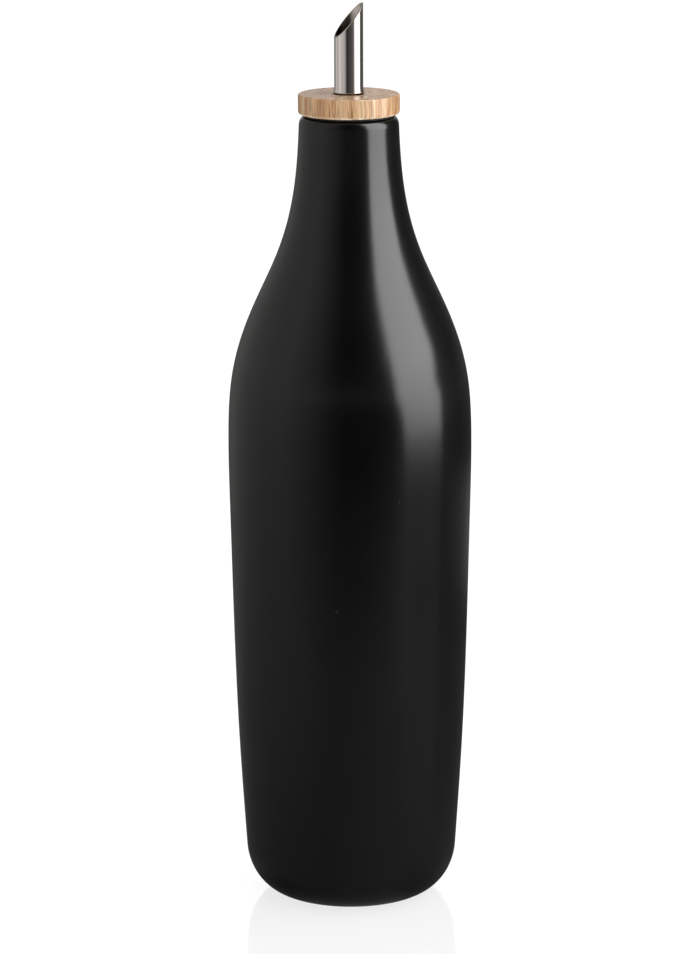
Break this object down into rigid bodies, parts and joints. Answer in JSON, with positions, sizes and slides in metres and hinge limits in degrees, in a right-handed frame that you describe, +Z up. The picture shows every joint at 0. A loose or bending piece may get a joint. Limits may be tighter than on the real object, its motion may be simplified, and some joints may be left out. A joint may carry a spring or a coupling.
{
  "type": "ceramic oil dispenser",
  "caption": "Tall black-glazed ceramic bottle with sloping shoulders, closed by a bamboo-topped stopper that carries a slant-cut steel pouring spout.",
  "frame": {"origin": "centre of the foot ring's flat face, on the bottle's axis", "axes": "+Z up along the bottle's axis; the spout's slanted mouth has its tip towards +X, turned 15 degrees towards +Y"},
  "size_m": [0.076, 0.076, 0.283],
  "materials": {
    "black_glaze": "satin black glaze with soft reflections and a few tiny pinholes",
    "bamboo": "smooth sanded bamboo with fine upright fibre streaks on its side",
    "black_silicone": "matt black silicone",
    "steel": "polished stainless tube with faint lengthwise drawing lines"
  },
  "bodies": {
    "root": {"bottle": "black_glaze", "stopper_disc": "bamboo", "stopper_seal": "black_silicone", "spout": "steel"}
  },
  "joints": []
}
